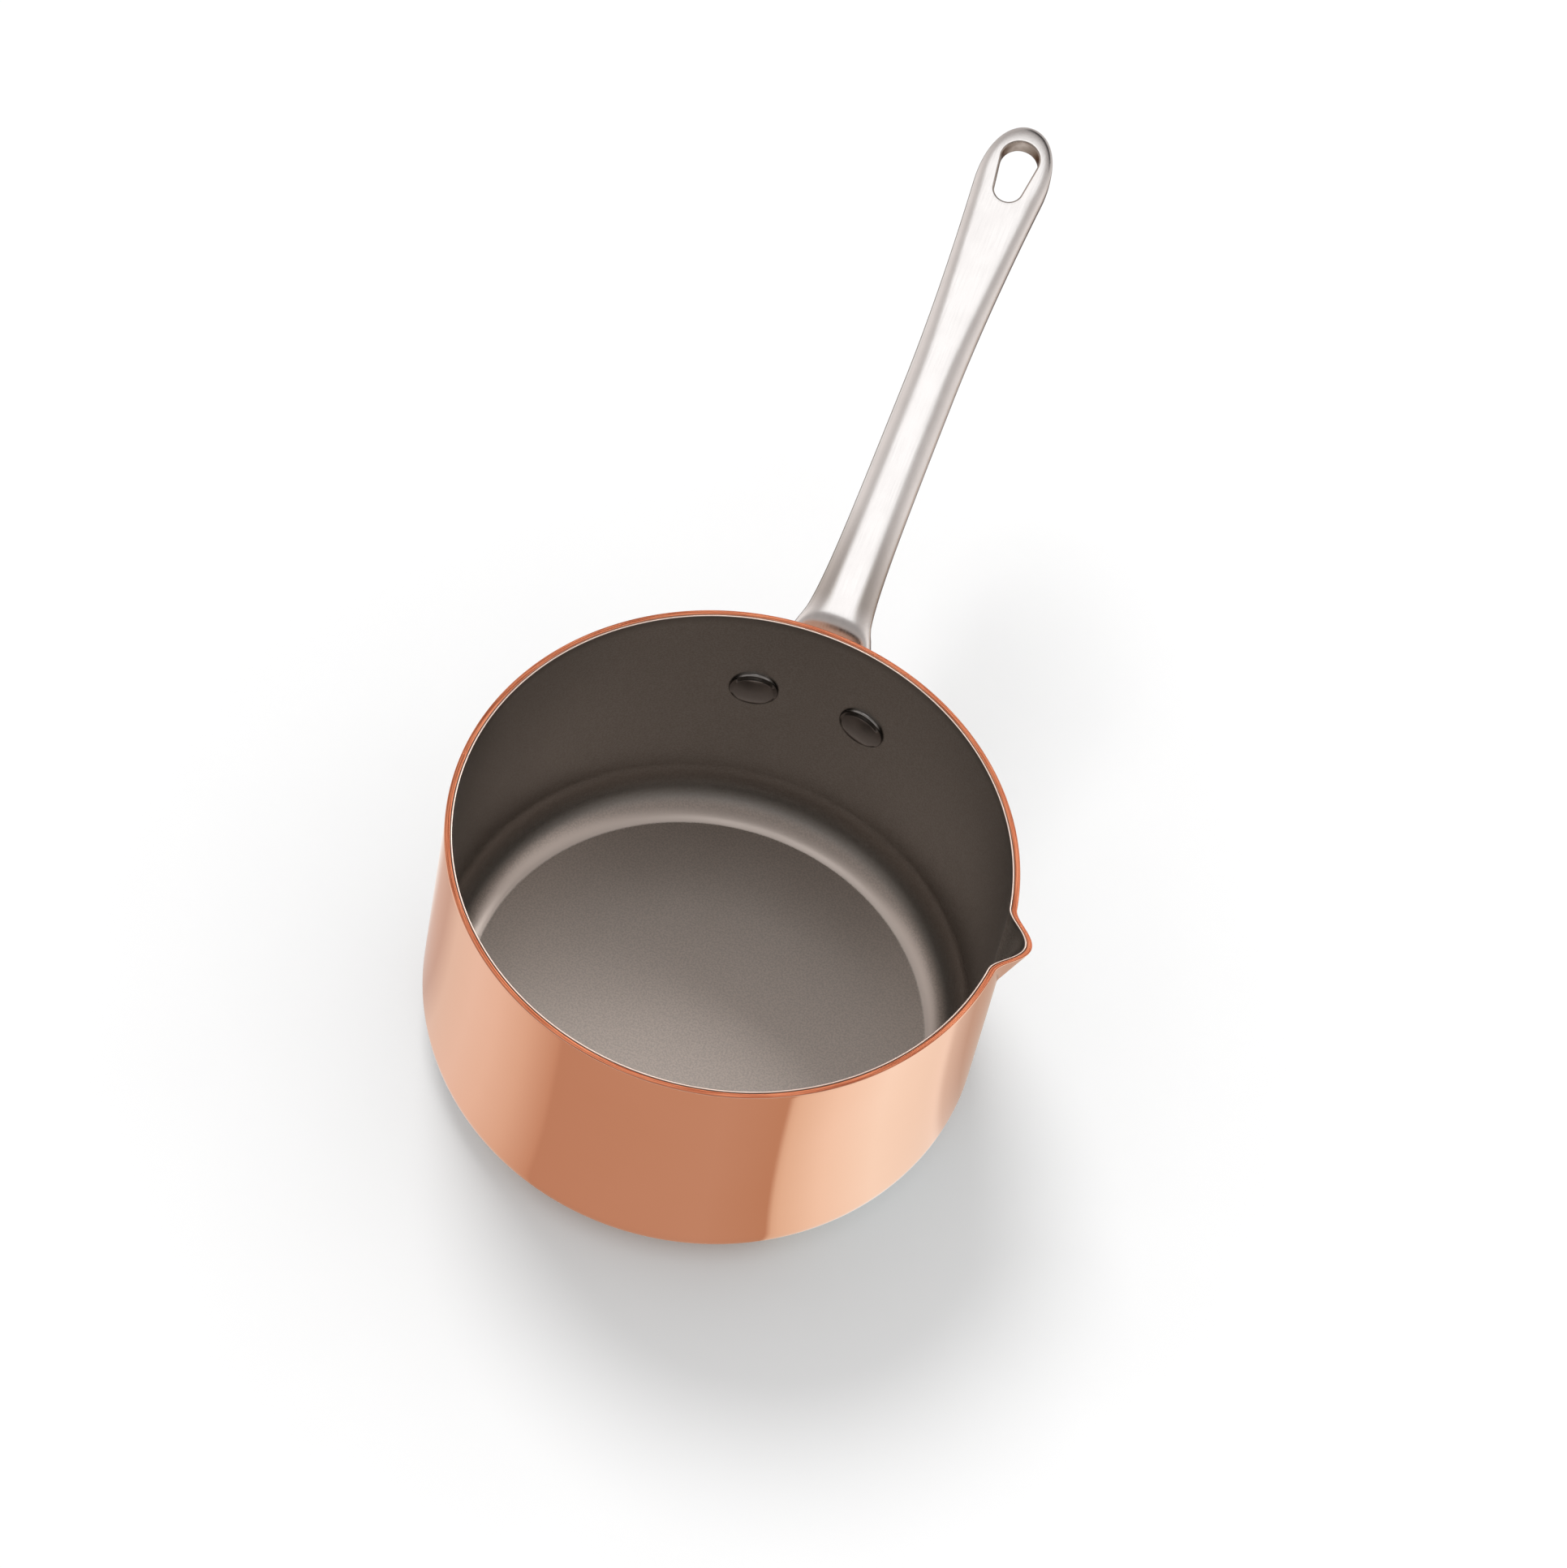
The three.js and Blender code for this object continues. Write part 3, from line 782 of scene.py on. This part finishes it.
def handle_material():
    """Softly polished steel, with painted shade on the grip's sides near its root, and a rough bore."""
    n = Surface("satin_handle_steel")
    surface = n.add("UVMap").outputs["UV"]
    place = n.add("NewGeometry").outputs["Position"]
    parts = n.add("SeparateXYZ", None, Vector=surface)
    length = parts.outputs["Y"]
    near_root = n.band(length, *[(GRIP_START + mark) * MM for mark in ROOT_SIDE_SHADE])
    offset = n.math("ABSOLUTE", parts.outputs["X"])
    on_side = n.spread(offset, *[mark * MM for mark in GRIP_SIDE], 0.0, 1.0)
    brushed = n.noise(n.scaled(surface, (9000, 120, 1)), 1.0, 3.0)
    cast = n.noise(place, 160.0, 3.0)
    bore = n.add("Attribute", {"attribute_name": "bore"}).outputs["Fac"]
    steel = n.blend(cast, 0.35, 0.65, HANDLE_TONES)
    # Painted shade on the grip's sides near its root.
    steel = n.mix(n.math("MULTIPLY", near_root, on_side), steel, colour(*ROOT_SIDE_SHADE_TONE))
    rough_cast = n.blend(cast, 0.4, 0.6, BORE_TONES)
    roughness = n.spread(brushed, 0.3, 0.7, 0.19, 0.27)
    bump = n.bump(brushed, 0.000004, 0.35, n.bump(cast, 0.00002, 0.3))
    n.feed(n.shader, Base_Color=n.mix(bore, steel, rough_cast), Metallic=1.0,
           Specular_Tint=colour(*HANDLE_TINT), Roughness=roughness, Normal=bump)
    return n.material


def rivet_material():
    """Glossy steel, dark inside the bowl by painted shade, and a clean grey steel outside."""
    n = Surface("rivet_steel")
    place = n.add("NewGeometry").outputs["Position"]
    grain = n.noise(place, 1500.0, 4.0, 0.6)
    reach = n.add("VectorMath", {"operation": "LENGTH"})
    n.set(reach.inputs[0], n.scaled(place, (1, 1, 0)))
    # The heads inside the bowl: the same steel, darkened by painted shade.
    dark = n.mix(grain, *[colour(*tone) for tone in INNER_RIVET_SHADE_TONES])
    outside = n.spread(reach.outputs["Value"], INNER_RADIUS * MM, OUTER_RADIUS * MM, 0.0, 1.0)
    steel = n.mix(outside, dark, colour(*OUTER_RIVET_TONE))
    roughness = n.spread(grain, 0.3, 0.7, 0.08, 0.12)
    n.feed(n.shader, Base_Color=steel, Metallic=1.0, Roughness=roughness,
           Normal=n.bump(grain, 0.000006, 0.3))
    return n.material


# ---- Stage ----

SOFTBOX_HEIGHT = 0.9  # metres, as are its sides
SOFTBOX = {"left": -0.335, "right": 0.15, "front": -0.11, "back": 0.42}
SOFTBOX_GLOW = 1.3
SOFTBOX_TONE = (0.98, 1.0, 1.01)

BACK_CARD = [(100, 33), (45, 33), (45, 50), (100, 50)]  # azimuth and elevation of its corners, 1 m away
BACK_CARD_GLOW = 3.7
BACK_CARD_CLEARANCE = 0.88  # metres: the handle is nearer to the card than this, and doesn't see it

REFLECTOR_INSIDE = 41.0  # its radius, in millimetres, as are the next two
REFLECTOR_OUTSIDE = 600.0
REFLECTOR_LIFT = 0.2
REFLECTOR_SEGMENTS = 180
REFLECTOR_FRONT = radians(-79.6)  # azimuth from which its panels' places are measured
REFLECTOR_FAN = 8.4  # how much its panels widen in each metre away from the bowl
REFLECTOR_FAN_END = 0.08  # metres from the bowl's axis

FLOOR_REACH = 4000
FLOOR_TONES = ((0.90, 0.90, 0.90), (0.92, 0.92, 0.92))
SUN_TRAVEL = (0.44, -0.54, -1.0)
SUN_WIDTH = radians(24)
SUN_STRENGTH = 1.22

BACKGROUND_TONE = (1.05, 1.05, 1.05)  # what the camera sees past the floor
ROOM_TONE = (0.82, 0.82, 0.82)  # what lights the floor, with the sun
# The studio that reflections see: heights, from the horizon at 0 to straight up at 1, and tones.
STUDIO_TONES = [(0.0, 0.98), (0.45, 0.92), (0.7, 0.76), (0.8, 0.67), (0.92, 0.56), (1.0, 0.48)]
STUDIO_TINT = (1.0, 0.96, 0.94)
STUDIO_FRONT = 0.58  # how much of that tone is left towards the front
STUDIO_BACK = 0.62  # and towards the back


def emitter_material(name, strength, tone=colour(1, 1, 1)):
    """The nodes of a material that only glows."""
    n = Surface(name)
    n.tree.nodes.remove(n.shader)
    glow = n.add("Emission", None, Color=tone, Strength=strength)
    n.feed(n.tree.nodes["Material Output"], Surface=glow.outputs[0])
    n.material.cycles.emission_sampling = "NONE"
    return n


def reflector(name, vertices, faces, material):
    """A card that only reflections see."""
    card = mesh_object(name, vertices, faces)
    card.data.materials.append(material)
    card.visible_camera = False
    card.visible_diffuse = False
    card.visible_shadow = False
    card.visible_transmission = False
    return card


def make_softbox():
    """A flat soft light over the pan, for reflections."""
    order = (("left", "front"), ("right", "front"), ("right", "back"), ("left", "back"))
    corners = [(SOFTBOX[x] / MM, SOFTBOX[y] / MM, SOFTBOX_HEIGHT / MM) for x, y in order]
    glow = emitter_material("softbox_glow", SOFTBOX_GLOW, colour(*SOFTBOX_TONE))
    reflector("softbox", corners, [(0, 1, 2, 3)], glow.material)


def make_back_card():
    """A card high behind the pan, to the right, that brightens the bowl's floor at the front left."""
    corners = []
    for azimuth, elevation in BACK_CARD:
        a, e = radians(azimuth), radians(elevation)
        corners.append((cos(a) * cos(e) / MM, sin(a) * cos(e) / MM, sin(e) / MM))
    n = emitter_material("back_card_glow", 1.0)
    path = n.add("LightPath")
    first_reflection = n.math("LESS_THAN", path.outputs["Glossy Depth"], 1.5)
    from_bowl = n.math("GREATER_THAN", path.outputs["Ray Length"], BACK_CARD_CLEARANCE)
    glow = n.math("MULTIPLY", n.math("MULTIPLY", first_reflection, from_bowl), BACK_CARD_GLOW)
    n.feed(n.tree.nodes["Emission"], Strength=glow)
    reflector("back_card", corners, [(0, 1, 2, 3)], n.material)


def make_floor_reflector():
    """A low ring of card round the pan, whose tone changes round the pan."""
    steps = REFLECTOR_SEGMENTS
    turns = [2 * pi * i / steps for i in range(steps)]
    vertices = [(radius * cos(turn), radius * sin(turn), REFLECTOR_LIFT)
                for radius in (REFLECTOR_INSIDE, REFLECTOR_OUTSIDE) for turn in turns]
    faces = [(i, (i + 1) % steps, steps + (i + 1) % steps, steps + i) for i in range(steps)]
    n = emitter_material("floor_reflector_glow", 1.0)
    place = n.add("NewGeometry").outputs["Position"]
    turned = n.add("VectorRotate", {"rotation_type": "Z_AXIS"}, Vector=place, Angle=-REFLECTOR_FRONT)
    parts = n.add("SeparateXYZ", None, Vector=turned.outputs[0])
    azimuth = n.math("ARCTAN2", parts.outputs["Y"], parts.outputs["X"])
    distance = n.add("VectorMath", {"operation": "LENGTH"})
    n.set(distance.inputs[0], place)
    fanned = n.math("MINIMUM", distance.outputs["Value"], REFLECTOR_FAN_END)
    fan = n.math("MULTIPLY_ADD", fanned, REFLECTOR_FAN, 1 - REFLECTOR_FAN * OUTER_RADIUS * MM)
    share = n.math("MULTIPLY_ADD", n.math("DIVIDE", azimuth, fan), 1 / (2 * pi), 0.5)
    # Degrees round from the front, to the right, and the card's tone there: dark behind, as a painted
    # shadow of the handle, pale at the sides with a duller stretch in each, and dark in front, up to a
    # sharp edge on its right.
    panels = [
        (-180, (0.50, 0.34, 0.26)),
        (-146, (0.55, 0.40, 0.32)),
        (-144, (0.88, 0.84, 0.80)),
        (-106, (1.03, 1.06, 1.05)),
        (-94, (0.76, 0.64, 0.59)),
        (-82, (0.67, 0.57, 0.53)),
        (-73, (0.85, 0.81, 0.78)),
        (-60, (0.89, 0.84, 0.82)),
        (-50, (0.86, 0.77, 0.72)),
        (-40, (0.76, 0.62, 0.53)),
        (-31, (0.60, 0.41, 0.31)),
        (-30, (0.53, 0.34, 0.25)),
        (10, (0.56, 0.38, 0.29)),
        (24, (0.53, 0.34, 0.24)),
        (25.5, (0.80, 0.69, 0.58)),
        (36, (0.96, 0.93, 0.87)),
        (50, (1.04, 1.12, 1.12)),
        (66, (1.00, 1.04, 1.02)),
        (71, (1.02, 1.04, 1.02)),
        (74, (0.79, 0.75, 0.71)),
        (83, (0.61, 0.50, 0.43)),
        (100, (0.66, 0.54, 0.46)),
        (110, (0.90, 0.87, 0.84)),
        (146, (0.92, 0.90, 0.88)),
        (148, (0.55, 0.40, 0.32)),
        (180, (0.50, 0.34, 0.26)),
    ]
    stops = [(angle / 360 + 0.5, tone) for angle, tone in panels]
    n.feed(n.tree.nodes["Emission"], Color=n.ramp(share, stops))
    reflector("floor_reflector", vertices, faces, n.material)


def make_floor():
    """A pale, dull floor."""
    corners = [(x * FLOOR_REACH, y * FLOOR_REACH, 0) for x, y in ((-1, -1), (1, -1), (1, 1), (-1, 1))]
    floor = mesh_object("floor", corners, [(0, 1, 2, 3)])
    n = Surface("pale_floor")
    place = n.add("NewGeometry").outputs["Position"]
    pale = n.mix(n.noise(place, 40.0, 3.0), *[colour(*tone) for tone in FLOOR_TONES])
    n.feed(n.shader, Base_Color=pale, Roughness=0.9, Specular_IOR_Level=0.0)
    floor.data.materials.append(n.material)


def make_light():
    """The soft light that shades the floor. Metal doesn't reflect it."""
    sun = bpy.data.lights.new("soft_sun", "SUN")
    sun.energy = SUN_STRENGTH
    sun.angle = SUN_WIDTH
    light = bpy.data.objects.new("soft_sun", sun)
    light.rotation_mode = "QUATERNION"
    light.rotation_quaternion = Vector(SUN_TRAVEL).to_track_quat("-Z", "Y")
    light.visible_glossy = False
    bpy.context.scene.collection.objects.link(light)


def make_room():
    """A white room for the camera and the floor, and a darker studio for reflections."""
    world = bpy.data.worlds.new("room")
    world.use_nodes = True
    world.cycles.sampling_method = "NONE"
    bpy.context.scene.world = world
    n = Nodes(world.node_tree)
    way = n.add("SeparateXYZ", None, Vector=n.add("TexCoord").outputs["Generated"])
    stops = [(height, [tone * part for part in STUDIO_TINT]) for height, tone in STUDIO_TONES]
    studio = n.ramp(way.outputs["Z"], stops)
    in_front = n.spread(way.outputs["Y"], -0.35, -0.03, STUDIO_FRONT, 1.0)
    behind = n.spread(way.outputs["Y"], 0.15, 0.6, 1.0, STUDIO_BACK)
    studio = n.times(studio, n.math("MULTIPLY", in_front, behind))
    path = n.add("LightPath")
    room = n.mix(path.outputs["Is Camera Ray"], colour(*ROOM_TONE), colour(*BACKGROUND_TONE))
    seen = n.mix(path.outputs["Is Glossy Ray"], room, studio)
    n.feed(n.tree.nodes["Background"], Color=seen)


# ---- Assembly ----

make_camera()
PIECES = [
    (bowl_layer("copper_bowl", 0, COPPER, RIM_ROUND, corner(COPPER)), "copper_shell", "copper",
     copper_material()),
    (bowl_layer("bowl_lining", COPPER + SEAM, WALL, LINING_ROUND, inside_corner()), "steel_lining",
     "lining_steel", lining_material()),
    (handle_mesh(), "handle", "handle_steel", handle_material()),
]
for piece, *_ in PIECES:
    cut(piece, [rivet_hole(side) for side in (-1, 1)])
rivet_finish = rivet_material()
PIECES += [(rivet("rivet_left_fine", -1), "rivet_left", "rivet_steel", rivet_finish),
           (rivet("rivet_right_fine", 1), "rivet_right", "rivet_steel", rivet_finish)]
for piece, node, slot, material in PIECES:
    piece.data.materials.clear()
    piece.data.materials.append(material)
    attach(piece, "root")
    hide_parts(node)

make_floor()
make_floor_reflector()
make_softbox()
make_back_card()
make_light()
make_room()
bpy.context.scene.view_settings.view_transform = "Standard"
